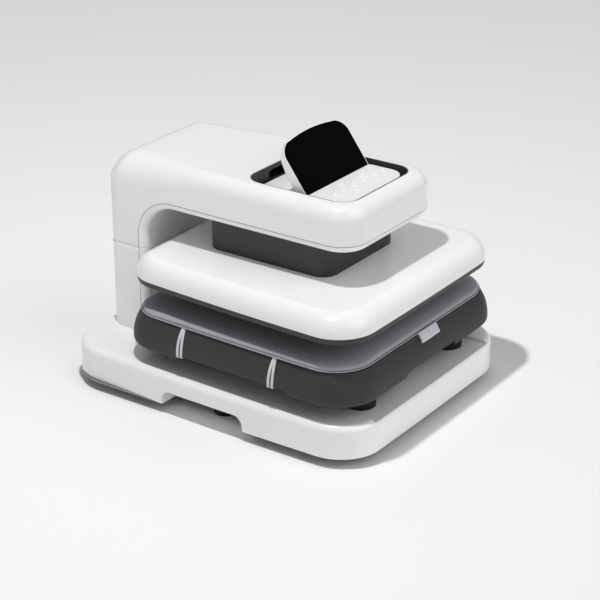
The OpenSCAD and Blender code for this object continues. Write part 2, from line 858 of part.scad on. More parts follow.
// Slab of the platen's outline, set in on all sides
module platen_slab(inset, z0, z1, top_r = 0, bottom_r = 0) {
    half = platen_w / 2 - inset;
    r = platen_r - inset;
    slab(2 * half, press_y - half, press_y + half, r, r, z0, z1, top_r, bottom_r);
}

module platen_cover() {
    color(white) difference() {
        union() {
            difference() {
                platen_slab(0, platen_edge, platen_top, platen_edge_r, 1);
                platen_slab(shell_t, platen_edge - 1, roof_under, platen_edge_r - shell_t);
            }
            for (x = [-1, 1])
                for (y = [-1, 1])
                    rod(x * 110, press_y + y * 140, 16, carriage_top, roof_under + 0.5);
        }
        plan_block(shroud_w - 24, shroud_y0 + 12, shroud_y1 - 12, 14, carriage_top, platen_top + 1);
    }
}

module platen_rim() {
    color(dark_grey) difference() {
        platen_slab(rim_in, rim_bot, platen_edge, 0, 5);
        platen_slab(rim_in + rim_t, rim_bot - 1, platen_edge + 1);
    }
}

module heat_plate() {
    color(zinc) platen_slab(heat_in, heat_bot, heat_top, 1, 1);
}

element_runs = [-2, -1, 0, 1, 2];
element_pitch = 60;
element_half = 110;
element_z = heat_top + 0.3 + element_d / 2;

module heating_element() {
    color(steel) translate([0, press_y, element_z]) {
        for (k = element_runs)
            translate([-element_half, k * element_pitch, 0]) rotate([0, 90, 0])
                cylinder(d = element_d, h = 2 * element_half);
        for (k = [0 : len(element_runs) - 2])
            translate([(k % 2 == 0 ? 1 : -1) * element_half, (element_runs[k] + 0.5) * element_pitch, 0])
                rotate(k % 2 == 0 ? -90 : 90) rotate_extrude(angle = 180)
                    translate([element_pitch / 2, 0]) circle(d = element_d);
    }
}

thermostat_d = 18;

module thermostat() {
    color(black) {
        rod(0, press_y + element_pitch / 2, thermostat_d, heat_top, heat_top + element_d - 1);
        rod(0, press_y + element_pitch / 2, thermostat_d + 8, heat_top, heat_top + 1.5);
    }
}

module insulation_mat() {
    half = platen_w / 2 - 32;
    color([0.85, 0.83, 0.75]) difference() {
        plan_block(2 * half, press_y - half, press_y + half, 45, mat_bot, carriage_z);
        standoff_places() cylinder(d = standoff_d + 2, h = 100, center = true);
    }
}

module standoff_places() {
    for (x = [-1, 1])
        for (y = [-1, 1])
            translate([x * standoff_at, press_y + y * standoff_at, carriage_z]) children();
}

carriage_screw_d = 5;

module plate_standoffs() {
    color(steel) standoff_places() difference() {
        translate([0, 0, heat_top - carriage_z]) cylinder(d = standoff_d, h = carriage_z - heat_top);
        translate([0, 0, -9]) cylinder(d = carriage_screw_d + 2 * screw_play, h = 10);
    }
}

module carriage_screws() {
    color(zinc) standoff_places() {
        translate([0, 0, -8]) cylinder(d = carriage_screw_d, h = 8 + carriage_t + 1);
        translate([0, 0, carriage_t]) cylinder(d = 9, h = 3.5);
    }
}

module rod_places() {
    for (x = [-1, 1])
        for (y = [-1, 1])
            translate([x * rod_span_x / 2, press_y + y * rod_span_y / 2, 0]) children();
}

module carriage() {
    half = standoff_at + 15;
    color(steel) difference() {
        union() {
            plan_block(2 * half, press_y - half, press_y + half, 20, carriage_z, carriage_top);
            both_sides() box(bridge_x - upright_t, bridge_x, press_y - bridge_y, press_y + bridge_y,
                             carriage_top - 1, bridge_z + 1);
            box(-bridge_x, bridge_x, press_y - bridge_y, press_y + bridge_y, bridge_z, bridge_top);
        }
        standoff_places() cylinder(d = carriage_screw_d + 2 * screw_play, h = 20, center = true);
        rod_places() rod(0, 0, bush_d + 2 * run_clear, bridge_z - 1, bridge_top + 1);
        rod(0, press_y, nut_d + 2 * run_clear, bridge_z - 1, bridge_top + 1);
    }
}

module guide_bushes() {
    color([0.72, 0.6, 0.3]) rod_places() difference() {
        union() {
            rod(0, 0, bush_d, bridge_z - 6, bridge_top + 12);
            rod(0, 0, bush_flange_d, bridge_top, bridge_top + 3);
        }
        rod(0, 0, rod_d + 2 * run_clear, bridge_z - 7, bridge_top + 13);
    }
}

module lift_nut() {
    color([0.72, 0.6, 0.3]) difference() {
        union() {
            rod(0, press_y, nut_d, bridge_z - 8, bridge_top + 10);
            rod(0, press_y, nut_flange_d, bridge_top, bridge_top + 6);
        }
        rod(0, press_y, screw_d + 2 * run_clear, bridge_z - 9, bridge_top + 11);
    }
}

shroud_t = 3;
shroud_foot = 9;

module shroud() {
    color(dark_grey) difference() {
        slab(shroud_w, shroud_y0, shroud_y1, shroud_r, shroud_r, platen_top, shroud_top);
        slab(shroud_w - 2 * shroud_t, shroud_y0 + shroud_t, shroud_y1 - shroud_t, shroud_r - shroud_t,
             shroud_r - shroud_t, platen_top + shroud_t, shroud_top + 1);
        plan_block(shroud_w - 2 * shroud_foot, shroud_y0 + shroud_foot, shroud_y1 - shroud_foot,
                   shroud_r - shroud_foot, platen_top - 1, platen_top + shroud_t + 1);
    }
}

// Tray

// Depth of the tray's shoulder at its top, and of the section that is swept round the tray
shoulder_in = tray_shoulder_r - sqrt((tray_shoulder_r - shell_t) ^ 2 - (tray_top - shell_t - shoulder_z) ^ 2);
section_in = shoulder_in + 6;

// Wall section of the tray, thinned by a wall: upright foot, then the sloping shoulder
module tray_section(depth, wall, z0, z1, bottom_r) {
    edge_section(depth, z0, shoulder_z, 0, bottom_r, wall);
    intersection() {
        translate([-tray_shoulder_r, shoulder_z]) circle(tray_shoulder_r - wall, $fn = 4 * edge_fn);
        translate([-section_in, shoulder_z - 0.5]) square([section_in, z1 - shoulder_z + 0.5]);
    }
    translate([-depth, shoulder_z - 0.5]) square([depth - section_in + 1, z1 - shoulder_z + 0.5]);
}

// Hollow section of the tray, with the edge of its roof
module tray_wall(depth) {
    difference() {
        tray_section(depth, 0, tray_bot, tray_top, tray_edge_r);
        translate([-1, 0]) tray_section(depth, shell_t - 1, tray_bot - 1, tray_top - shell_t, 0);
    }
}

module tray_foot_places() {
    for (x = [-1, 1])
        for (y = [-1, 1])
            translate([x * tray_foot_x / 2, tray_y + y * tray_foot_y / 2, 0]) children();
}

module tray_shell() {
    color(charcoal) {
        difference() {
            straight_rim(tray_w, tray_y - tray_w / 2, tray_y + tray_w / 2, tray_r) {
                tray_wall(tray_r);
                tray_wall(tray_w / 2);
            }
            translate([0, tray_y, tray_bot]) {
                across(-tray_w, tray_w) arch(side_arch_l, side_arch_h, 15);
                rotate(90) across(-tray_w, tray_w) arch(front_arch_l, front_arch_h, 8);
            }
        }
        tray_foot_places() rod(0, 0, leg_d, tray_bot, tray_top - shell_t + 0.5);
    }
}

module tray_feet() {
    color(black) tray_foot_places()
        translate([0, 0, way_z + seat_gap])
            cylinder(d1 = tray_foot_d - 3, d2 = tray_foot_d, h = tray_bot - way_z - seat_gap);
}

module tray_board() {
    half = tray_w / 2 - 35;
    color(zinc) difference() {
        plan_block(2 * half, tray_y - half, tray_y + half, 40, tray_board_z, tray_top - shell_t);
        tray_foot_places() rod(0, 0, leg_d + 1, tray_board_z - 1, tray_top);
    }
}

rail_back = way_back - 12;

// Rail section: a foot, a web and a flange, drawn as (x, z)
module rail_section() {
    translate([-rail_flange_w / 2, way_z]) square([rail_flange_w, 2]);
    translate([-rail_web_w / 2, way_z]) square([rail_web_w, rail_h]);
    translate([-rail_flange_w / 2, rail_top - rail_flange_t]) square([rail_flange_w, rail_flange_t]);
}

module tray_rails() {
    color(steel) both_sides()
        translate([rail_span / 2, rail_back, 0]) rotate([90, 0, 0])
            linear_extrude(rail_back - rail_front) rail_section();
}

// Runner section: a channel that hooks round the rail's flange, on a web under the tray board
module runner_section() {
    in_w = rail_flange_w + 2 * seat_gap;
    lip_z = rail_top - rail_flange_t - seat_gap;
    difference() {
        translate([-in_w / 2 - 3, lip_z - 3]) square([in_w + 6, rail_top + seat_gap + 4 - lip_z + 3]);
        translate([-in_w / 2, lip_z]) square([in_w, rail_top + seat_gap - lip_z]);
        translate([-rail_web_w / 2 - 1, lip_z - 4]) square([rail_web_w + 2, 5]);
    }
    translate([-2, rail_top + seat_gap + 3]) square([4, tray_board_z - rail_top - seat_gap - 3]);
    translate([-15, tray_board_z - 3]) square([30, 3]);
}

module tray_runners() {
    color(black) both_sides()
        translate([rail_span / 2, runner_back, 0]) rotate([90, 0, 0])
            linear_extrude(runner_l) runner_section();
}

// Pad

corner_steps = 8;
side_steps = 6;

// A quarter of the pad's outline: one corner arc and the side that follows it, drawn in at its middle
function pad_quarter(half, r) =
    let (c = half - r)
    [for (i = [0 : corner_steps]) [c + r * cos(90 * i / corner_steps), c + r * sin(90 * i / corner_steps)],
     for (i = [1 : side_steps - 1]) let (x = 1 - 2 * i / side_steps) [c * x, half - pad_pull * (1 - x * x)]];

function turn(p, a) = [p[0] * cos(a) - p[1] * sin(a), p[0] * sin(a) + p[1] * cos(a)];

function pad_ring(inset, z) =
    let (half = pad_w / 2 - inset)
    [for (k = [0 : 3]) for (p = pad_quarter(half, pad_r * half / (pad_w / 2))) let (t = turn(p, 90 * k))
        [t[0], t[1] + tray_y, z]];

pad_edge_h = 0.72 * pad_t;

// Rings from the flat underside, round the soft edge and up over the crown
function pad_rings() =
    let (z = tray_top, edge = tray_top + pad_edge_h, crown = pad_t - pad_edge_h)
    concat([pad_ring(4, z), pad_ring(1.2, z + 0.8), pad_ring(0, z + 3), pad_ring(0.4, edge - 2.6),
            pad_ring(2.2, edge - 0.8), pad_ring(6, edge)],
           [for (k = [1 : 5]) pad_ring(6 + 30 * k, edge + crown * (1 - (1 - k / 5) ^ 2))]);

module pad() {
    rings = pad_rings();
    n = len(rings[0]);
    m = len(rings);
    color(lavender) polyhedron(
        points = [for (r = rings) each r],
        faces = concat(
            [for (j = [0 : m - 2]) for (i = [0 : n - 1]) [j * n + i, (j + 1) * n + i, j * n + (i + 1) % n]],
            [for (j = [0 : m - 2]) for (i = [0 : n - 1])
                [j * n + (i + 1) % n, (j + 1) * n + i, (j + 1) * n + (i + 1) % n]],
            [for (i = [1 : n - 2]) [0, i, i + 1]],
            [for (i = [1 : n - 2]) [(m - 1) * n, (m - 1) * n + i + 1, (m - 1) * n + i]]));
}

// Ribbon that lies on the tray's shoulder: x is 0 on the tray's outline, y is the height
module shoulder_ribbon(z0, z1) {
    intersection() {
        translate([-tray_shoulder_r, shoulder_z]) difference() {
            circle(tray_shoulder_r + ribbon_gap + ribbon_t);
            circle(tray_shoulder_r + ribbon_gap);
        }
        translate([-tray_shoulder_r, z0]) square([tray_shoulder_r + 5, z1 - z0]);
    }
}

strap_top = tray_top + 1.8;
strap_y = 79;
strap_fan = 10;
arch_z = tray_bot + side_arch_h;

// Strap section: down the shoulder and the wall, then under the arch
module strap_section() {
    low = arch_z - 2 * ribbon_gap - ribbon_t;
    shoulder_ribbon(shoulder_z, strap_top);
    translate([ribbon_gap, low]) square([ribbon_t, shoulder_z - low]);
    translate([-12, low]) square([12 + ribbon_gap + ribbon_t, ribbon_t]);
}

module strap(y, lean, lift) {
    translate([tray_w / 2 + lift, tray_y + y + strap_w / 2, strap_top])
        rotate([lean, 0, 0]) translate([0, 0, -strap_top]) rotate([90, 0, 0])
            linear_extrude(strap_w) strap_section();
}

module elastic_straps() {
    color([0.93, 0.93, 0.95]) both_sides() for (y = [-strap_y, strap_y]) {
        strap(y, 0, 0);
        strap(y, strap_fan, 1.6 * ribbon_t);
    }
}

label_x = 3;
label_l = 12;

module sewn_label() {
    color([0.93, 0.93, 0.92]) translate([label_x + label_w / 2, tray_y - tray_w / 2, 0])
        rotate([90, 0, -90]) linear_extrude(label_w) shoulder_ribbon(strap_top - label_l, strap_top);
}

base_cover();
base_plate();
base_feet();
base_screws();
base_tubes();
frame_plate_left();
frame_plate_right();
frame_bolts();
arm_plate();
column_plate();
lower_cover();
upper_cover();
throat_liner();
column_liner();
control_tub();
well_floor_plate();
key_panel();
key_board();
lift_gearbox();
lift_motor();
guide_rods();
power_board();
mains_inlet();
inlet_blades();
switch_housing();
tray_rails();
platen_cover();
platen_rim();
heat_plate();
heating_element();
insulation_mat();
thermostat();
carriage();
carriage_screws();
plate_standoffs();
lift_nut();
guide_bushes();
shroud();
lift_screw();
tray_shell();
tray_feet();
tray_board();
tray_runners();
pad();
elastic_straps();
sewn_label();
display_back();
display_glass();
display_module();
hinge_pins();
rocker();
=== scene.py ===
import math

import bmesh
import bpy
import numpy as np
from mathutils import Matrix, Vector


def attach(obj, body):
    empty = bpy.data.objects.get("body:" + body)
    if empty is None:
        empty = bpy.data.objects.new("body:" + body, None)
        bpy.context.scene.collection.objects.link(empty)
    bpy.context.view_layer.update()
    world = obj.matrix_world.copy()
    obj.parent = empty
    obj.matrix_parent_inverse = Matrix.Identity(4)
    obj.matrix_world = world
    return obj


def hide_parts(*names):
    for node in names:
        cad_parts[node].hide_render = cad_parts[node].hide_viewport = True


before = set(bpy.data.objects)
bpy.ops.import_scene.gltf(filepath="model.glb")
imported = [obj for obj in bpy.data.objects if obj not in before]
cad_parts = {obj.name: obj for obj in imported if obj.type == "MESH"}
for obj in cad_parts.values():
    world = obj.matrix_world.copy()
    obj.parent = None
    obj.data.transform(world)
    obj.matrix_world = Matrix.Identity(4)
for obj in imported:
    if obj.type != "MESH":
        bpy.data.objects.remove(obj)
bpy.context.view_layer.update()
scene = bpy.context.scene
mm = 0.001
print("frame loaded:", len(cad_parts), "nodes")


# Camera at the photograph's viewing angle

photoView = {"azimuth": -55.22, "elevation": 24.11, "lens": 112.74, "sensor": 36,
             "place": (-2.06996, -1.4651, 1.256)}


def makeCamera(view):
    data = bpy.data.cameras.new("photoCamera")
    data.lens = view["lens"]
    data.sensor_width = view["sensor"]
    camera = bpy.data.objects.new("photoCamera", data)
    camera.location = view["place"]
    camera.rotation_euler = (math.radians(90 - view["elevation"]), 0, math.radians(view["azimuth"]))
    scene.collection.objects.link(camera)
    scene.camera = camera


makeCamera(photoView)


# Node trees: one socket class for arithmetic, one function for every other node

class Wire:
    def __init__(self, tree, socket):
        self.tree, self.socket = tree, socket

    def maths(self, operation, first, second=0.0):
        return addNode(self.tree, "ShaderNodeMath", {"operation": operation}, {0: first, 1: second})

    def __add__(self, other):
        return self.maths("ADD", self, other)

    def __radd__(self, other):
        return self.maths("ADD", other, self)

    def __sub__(self, other):
        return self.maths("SUBTRACT", self, other)

    def __rsub__(self, other):
        return self.maths("SUBTRACT", other, self)

    def __mul__(self, other):
        return self.maths("MULTIPLY", self, other)

    def __rmul__(self, other):
        return self.maths("MULTIPLY", other, self)

    def __pow__(self, other):
        return self.maths("POWER", self, other)

    def __rpow__(self, other):
        return self.maths("POWER", other, self)

    def wave(self, pitch):
        return self.maths("SINE", self * (2 * math.pi / pitch))


def addNode(tree, kind, settings=None, sockets=None, output=0):
    node = tree.nodes.new(kind)
    for key, value in (settings or {}).items():
        if key == "stops":
            while len(node.color_ramp.elements) < len(value):
                node.color_ramp.elements.new(0.5)
            for stop, (place, colour) in zip(node.color_ramp.elements, value):
                stop.position, stop.color = place, colour
        else:
            setattr(node, key, value)
    for key, value in (sockets or {}).items():
        if isinstance(value, Wire):
            tree.links.new(value.socket, node.inputs[key])
        else:
            node.inputs[key].default_value = value
    return Wire(tree, node.outputs[output])


def weighted(wires, shares):
    total = wires[0] * shares[0]
    for wire, share in zip(wires[1:], shares[1:]):
        total = total + wire * share
    return total


class Finish:
    # one procedural material: Object coordinates in, a Principled shader out
    def __init__(self, name):
        self.material = bpy.data.materials.new(name)
        self.material.use_nodes = True
        self.tree = self.material.node_tree
        self.tree.nodes.clear()
        self.shader = self.tree.nodes.new("ShaderNodeBsdfPrincipled")
        end = self.tree.nodes.new("ShaderNodeOutputMaterial")
        self.tree.links.new(self.shader.outputs[0], end.inputs[0])
        self.place = self.node("ShaderNodeTexCoord", output="Object")

    def node(self, kind, settings=None, sockets=None, output=0):
        return addNode(self.tree, kind, settings, sockets, output)

    def noise(self, scale, detail=2.0, vector=None):
        return self.node("ShaderNodeTexNoise", {}, {"Vector": vector or self.place, "Scale": scale,
                                                    "Detail": detail, "Roughness": 0.5})

    def stretched(self, scale):
        return self.node("ShaderNodeMapping", {}, {"Vector": self.place, "Scale": scale})

    def along(self, wire, count):
        return [self.node("ShaderNodeSeparateXYZ", {}, {0: wire}, axis) for axis in range(count)]

    def blend(self, factor, first, second):
        return self.node("ShaderNodeMix", {"data_type": "RGBA"},
                         {0: factor, 6: (*first, 1), 7: (*second, 1)}, 2)

    def relief(self, height, strength, distance):
        self.put(Normal=self.node("ShaderNodeBump", {}, {"Strength": strength, "Distance": distance,
                                                         "Height": height}))

    def put(self, **values):
        for key, value in values.items():
            socket = self.shader.inputs[key.replace("_", " ")]
            if isinstance(value, Wire):
                self.tree.links.new(value.socket, socket)
            else:
                socket.default_value = value


# Finishes

mouldedLooks = {
    "white_shell": dict(colour=(0.945, 0.945, 0.947), shade=(0.93, 0.93, 0.933), rough=0.19, spread=0.05,
                        grain=1500, strength=0.03, specular=0.5, coat=0.1),
    "dark_shell": dict(colour=(0.042, 0.042, 0.043), shade=(0.034, 0.034, 0.035), rough=0.42, spread=0.10,
                       grain=1900, strength=0.16, specular=0.4, coat=0.0),
    "charcoal_shell": dict(colour=(0.046, 0.043, 0.044), shade=(0.037, 0.035, 0.036), rough=0.58, spread=0.10,
                           grain=1500, strength=0.24, specular=0.35, coat=0.0),
    "black_plastic": dict(colour=(0.02, 0.02, 0.02), shade=(0.014, 0.014, 0.014), rough=0.42, spread=0.1,
                          grain=1600, strength=0.16, specular=0.4, coat=0.0),
    "black_rubber": dict(colour=(0.018, 0.018, 0.018), shade=(0.013, 0.013, 0.013), rough=0.74, spread=0.12,
                         grain=900, strength=0.3, specular=0.3, coat=0.0),
}
mouldedSkin = dict(flow=7, coatRough=0.08, bump=0.00012)  # the same on all of them


def mouldedFinish(name, look, skin):
    f = Finish(name)
    flow = f.noise(skin["flow"], 3)
    grain = f.noise(look["grain"], 2)
    f.put(Base_Color=f.blend(flow, look["colour"], look["shade"]),
          Roughness=look["rough"] + (flow - 0.5) * look["spread"] + (grain - 0.5) * (0.5 * look["spread"]),
          Specular_IOR_Level=look["specular"], Coat_Weight=look["coat"], Coat_Roughness=skin["coatRough"])
    f.relief(grain, look["strength"], skin["bump"])
    return f.material


glassLook = dict(colour=(0.0016, 0.0016, 0.0018), shade=(0.0012, 0.0012, 0.0013), rough=0.03, spread=0.02,
                 specular=0.03, smear=22, ripple=60, strength=0.004, bump=0.0002)


def glassFinish(name, look):
    f = Finish(name)
    smear = f.noise(look["smear"], 3)
    f.put(Base_Color=f.blend(smear, look["colour"], look["shade"]),
          Roughness=look["rough"] + smear * look["spread"], Specular_IOR_Level=look["specular"])
    f.relief(f.noise(look["ripple"], 1), look["strength"], look["bump"])
    return f.material


clothLook = dict(yarn=(0.46, 0.445, 0.50), gap=(0.34, 0.33, 0.375), pitch=0.0011, slub=140, patch=9,
                 shares=(0.45, 0.35, 0.2), rough=0.82, spread=0.16, specular=0.2, sheen=0.2, sheenRough=0.45,
                 reliefShares=(0.6, 0.4), strength=0.35, bump=0.00025)


def clothFinish(name, look):
    f = Finish(name)
    x, y = f.along(f.place, 2)
    weave = x.wave(look["pitch"]) * y.wave(look["pitch"]) * 0.5 + 0.5
    slub = f.noise(look["slub"], 3)
    patch = f.noise(look["patch"], 2)
    f.put(Base_Color=f.blend(weighted((weave, slub, patch), look["shares"]), look["gap"], look["yarn"]),
          Roughness=look["rough"] + (slub - 0.5) * look["spread"], Specular_IOR_Level=look["specular"],
          Sheen_Weight=look["sheen"], Sheen_Roughness=look["sheenRough"])
    f.relief(weighted((weave, slub), look["reliefShares"]), look["strength"], look["bump"])
    return f.material


ribbonLook = dict(yarn=(0.80, 0.79, 0.83), gap=(0.56, 0.55, 0.60), ribs=9, picks=0.0009, tape=0.0042,
                  fuzz=900, shares=(0.5, 0.2, 0.3), rough=0.7, spread=0.15, specular=0.25, sheen=0.25,
                  reliefShares=(0.6, 0.4), strength=0.4, bump=0.0002)


def ribbonFinish(name, look):
    f = Finish(name)
    u, v = f.along(f.node("ShaderNodeUVMap"), 2)
    ribs = u.wave(1 / look["ribs"]) * 0.5 + 0.5
    picks = v.wave(look["picks"]) * 0.5 + 0.5
    fuzz = f.noise(look["fuzz"], 2)
    f.put(Base_Color=f.blend(weighted((ribs, picks, fuzz), look["shares"]), look["gap"], look["yarn"]),
          Roughness=look["rough"] + fuzz * look["spread"], Specular_IOR_Level=look["specular"],
          Sheen_Weight=look["sheen"])
    f.relief(weighted((ribs, picks), look["reliefShares"]), look["strength"], look["bump"])
    return f.material


metalLooks = {
    "steel": dict(colour=(0.34, 0.35, 0.37), shade=(0.27, 0.28, 0.30), rough=0.42, stretch=(1, 9, 9),
                  scale=160),
    "bright_steel": dict(colour=(0.62, 0.63, 0.65), shade=(0.5, 0.51, 0.53), rough=0.22, stretch=(1, 1, 14),
                         scale=220),
    "zinc": dict(colour=(0.6, 0.61, 0.63), shade=(0.48, 0.5, 0.52), rough=0.34, stretch=(2, 2, 2), scale=420),
    "brass": dict(colour=(0.72, 0.55, 0.24), shade=(0.56, 0.42, 0.18), rough=0.28, stretch=(1, 1, 12),
                  scale=260),
    "heat_plate": dict(colour=(0.07, 0.07, 0.073), shade=(0.05, 0.05, 0.052), rough=0.46, stretch=(1, 1, 1),
                       scale=700),
}
metalSkin = dict(bloom=30, shares=(0.6, 0.4), lineSpread=0.18, bloomSpread=0.1, strength=0.12, bump=0.0001)


def metalFinish(name, look, skin):
    f = Finish(name)
    lines = f.noise(look["scale"], 4, f.stretched(look["stretch"]))
    bloom = f.noise(skin["bloom"], 3)
    f.put(Base_Color=f.blend(weighted((lines, bloom), skin["shares"]), look["shade"], look["colour"]),
          Roughness=look["rough"] + (lines - 0.5) * skin["lineSpread"] + (bloom - 0.5) * skin["bloomSpread"],
          Metallic=1.0)
    f.relief(lines, skin["strength"], skin["bump"])
    return f.material


matLook = dict(fibre=(0.72, 0.70, 0.62), gap=(0.55, 0.53, 0.46), scale=520, stretch=(1, 4, 1), rough=0.9,
               specular=0.1, strength=0.5, bump=0.0006)


def matFinish(name, look):
    f = Finish(name)
    strands = f.noise(look["scale"], 5, f.stretched(look["stretch"]))
    f.put(Base_Color=f.blend(strands, look["gap"], look["fibre"]), Roughness=look["rough"],
          Specular_IOR_Level=look["specular"])
    f.relief(strands, look["strength"], look["bump"])
    return f.material


boardLook = dict(mask=(0.02, 0.11, 0.05), track=(0.035, 0.17, 0.08), pitch=0.0042, narrow=6, breaks=80,
                 gain=1.4, rough=0.35, specular=0.45, strength=0.1, bump=0.0001)


def boardFinish(name, look):
    f = Finish(name)
    x = f.along(f.place, 1)[0]
    breaks = f.noise(look["breaks"], 1) * look["gain"]
    track = (x.wave(look["pitch"]) * 0.5 + 0.5) ** look["narrow"] * breaks
    f.put(Base_Color=f.blend(track, look["mask"], look["track"]), Roughness=look["rough"],
          Specular_IOR_Level=look["specular"])
    f.relief(track, look["strength"], look["bump"])
    return f.material


finishes = {name: mouldedFinish(name, look, mouldedSkin) for name, look in mouldedLooks.items()}
finishes.update({name: metalFinish(name, look, metalSkin) for name, look in metalLooks.items()})
finishes["screen_glass"] = glassFinish("screen_glass", glassLook)
finishes["pad_cloth"] = clothFinish("pad_cloth", clothLook)
finishes["white_ribbon"] = ribbonFinish("white_ribbon", ribbonLook)
finishes["mat"] = matFinish("mat", matLook)
finishes["circuit_board"] = boardFinish("circuit_board", boardLook)
print("finishes made:", len(finishes))

nodeSlots = {
    "white_shell": "base_cover lower_cover upper_cover throat_liner column_liner well_floor_plate key_panel "
                   "platen_cover display_back",
    "dark_shell": "control_tub platen_rim shroud",
    "charcoal_shell": "tray_shell",
    "black_plastic": "mains_inlet switch_housing rocker lift_motor thermostat tray_runners",
    "black_rubber": "base_feet tray_feet",
    "screen_glass": "display_glass",
    "pad_cloth": "pad",
    "white_ribbon": "elastic_straps sewn_label",
    "mat": "insulation_mat",
    "heat_plate": "heat_plate",
    "steel": "base_plate base_tubes frame_plate_left frame_plate_right arm_plate column_plate carriage "
             "tray_board tray_rails plate_standoffs",
    "bright_steel": "guide_rods lift_screw heating_element hinge_pins",
    "zinc": "base_screws frame_bolts carriage_screws lift_gearbox",
    "brass": "lift_nut guide_bushes inlet_blades",
    "circuit_board": "key_board power_board display_module",
}
slotOf = {node: slot for slot, names in nodeSlots.items() for node in names.split()}
for node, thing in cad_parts.items():
    thing.data.materials.clear()
    thing.data.materials.append(finishes[slotOf[node]])


# Mesh helpers

meshGap = dict(weld=2e-6, sliver=1e-6)
sharpAngle = dict(shell=34, grown=60, tape=45)
softEdge = dict(segments=2, angle=50)


def addPiece(name, mesh, body, slot, *nodes):
    thing = bpy.data.objects.new(name, mesh)
    scene.collection.objects.link(thing)
    if not mesh.materials:
        mesh.materials.append(finishes[slot])
    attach(thing, body)
    if nodes:
        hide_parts(*nodes)
    return thing


def plainMesh(name, points, faces):
    mesh = bpy.data.meshes.new(name)
    mesh.from_pydata([tuple(p) for p in points], [], faces)
    mesh.validate()
    return mesh


def smoothByAngle(mesh, degrees):
    mesh.polygons.foreach_set("use_smooth", [True] * len(mesh.polygons))
    mesh.set_sharp_from_angle(angle=math.radians(degrees))


def mergedCopy(node):
    # a CAD node as a merged bmesh, its loose triangles joined
    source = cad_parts[node].data
    points = np.zeros(len(source.vertices) * 3)
    source.vertices.foreach_get("co", points)
    bm = bmesh.new()
    verts = [bm.verts.new(p) for p in points.reshape(-1, 3)]
    for polygon in source.polygons:
        bm.faces.new([verts[i] for i in polygon.vertices])
    bmesh.ops.remove_doubles(bm, verts=bm.verts, dist=meshGap["weld"])
    bmesh.ops.dissolve_degenerate(bm, dist=meshGap["sliver"], edges=bm.edges)
    return bm


def slicePlanes(bm, cuts):
    for at, way in cuts:
        everything = bm.verts[:] + bm.edges[:] + bm.faces[:]
        bmesh.ops.bisect_plane(bm, geom=everything, plane_co=at, plane_no=way, dist=meshGap["sliver"])


def shellPiece(node, name, body, slot, soft=0.0, warp=None, cuts=()):
    bm = mergedCopy(node)
    slicePlanes(bm, cuts)
    if warp:
        for vert, place in zip(bm.verts, warp(np.array([v.co for v in bm.verts]))):
            vert.co = place
    mesh = bpy.data.meshes.new(name)
    bm.to_mesh(mesh)
    bm.free()
    smoothByAngle(mesh, sharpAngle["shell"])
    thing = addPiece(name, mesh, body, slot, node)
    if soft:
        edge = thing.modifiers.new("softEdge", "BEVEL")
        edge.width, edge.segments = soft, softEdge["segments"]
        edge.limit_method, edge.angle_limit = "ANGLE", math.radians(softEdge["angle"])
    even = thing.modifiers.new("evenNormals", "WEIGHTED_NORMAL")
    even.keep_sharp = True
    return thing


# Moulded shells, each a smooth copy of its CAD node

# plan outlines, CAD and photographed; widths are half widths at the front, the middle and the back
baseCad = dict(half=0.2083, depth=0.25975, corners=(0.068, 0.068))
baseSeen = dict(half=0.2083, depth=0.2613, corners=(0.062, 0.057), widths=(0.2066, 0.2076, 0.1955),
                bow=(0.0015, 0.0015))
platenCad = dict(half=0.2, depth=0.2, corners=(0.058, 0.058))
platenSeen = dict(half=0.2, depth=0.2014, corners=(0.058, 0.046), widths=(0.2006, 0.1952, 0.1818),
                  bow=(0.0022, 0.0022))
trayCad = dict(half=0.2043, depth=0.2043, corners=(0.069, 0.069))
traySeen = dict(half=0.2043, depth=0.2053, corners=(0.063, 0.054), widths=(0.2056, 0.2036, 0.1965),
                bow=(0.001, 0.001))
padSeen = dict(half=0.1915, depth=0.1925, corners=(0.058, 0.046), widths=(0.1975, 0.1945, 0.1865),
               bow=(0.0, 0.0))
displayCad = dict(half=0.0785, depth=0.041, corners=(0.002, 0.024))
displaySeen = dict(half=0.0785, depth=0.041, corners=(0.002, 0.021), bow=(0.0, 0.0087), rise=1.083)
platenMiddle, trayMiddle = -0.0472, -0.0495
leastCorner = 0.004
morphLook = dict(still=0.78, fade=0.12, side=60)  # still and fade are shares of the way out to the edge


def halfWidth(look, y):
    front, middle, back = look.get("widths", (look["half"],) * 3)
    t = y / look["depth"]
    return middle + (back - front) / 2 * t + ((back + front) / 2 - middle) * t * t


def planRing(look, inset=0.0, arc=12, side=16):
    half, depth = look["half"] - inset, look["depth"] - inset
    corners = []
    for turn, (sx, sy) in enumerate([(1, 1), (-1, 1), (-1, -1), (1, -1)]):
        r = max(look["corners"][0 if sy < 0 else 1] - inset, leastCorner)
        for i in range(arc + 1):
            a = math.pi / 2 * (turn + i / arc)
            corners.append((sx * (half - r) + r * math.cos(a), sy * (depth - r) + r * math.sin(a)))
    points = []
    for i, (x, y) in enumerate(corners):
        fx, fy = corners[(i + 1) % len(corners)]
        count = side if i % (arc + 1) == arc else 1
        points += [(x + (fx - x) * k / count, y + (fy - y) * k / count) for k in range(count)]
    bow, rise = look.get("bow", (0.0, 0.0)), look.get("rise", 1.0)
    return np.array([(x * halfWidth(look, y) / look["half"],
                      y * (rise if y > 0 else 1.0) * (1 - bow[0 if y < 0 else 1] / depth * (x / half) ** 2))
                     for x, y in points])


def polar(ring):
    return np.arctan2(ring[:, 1], ring[:, 0]), np.hypot(ring[:, 0], ring[:, 1])


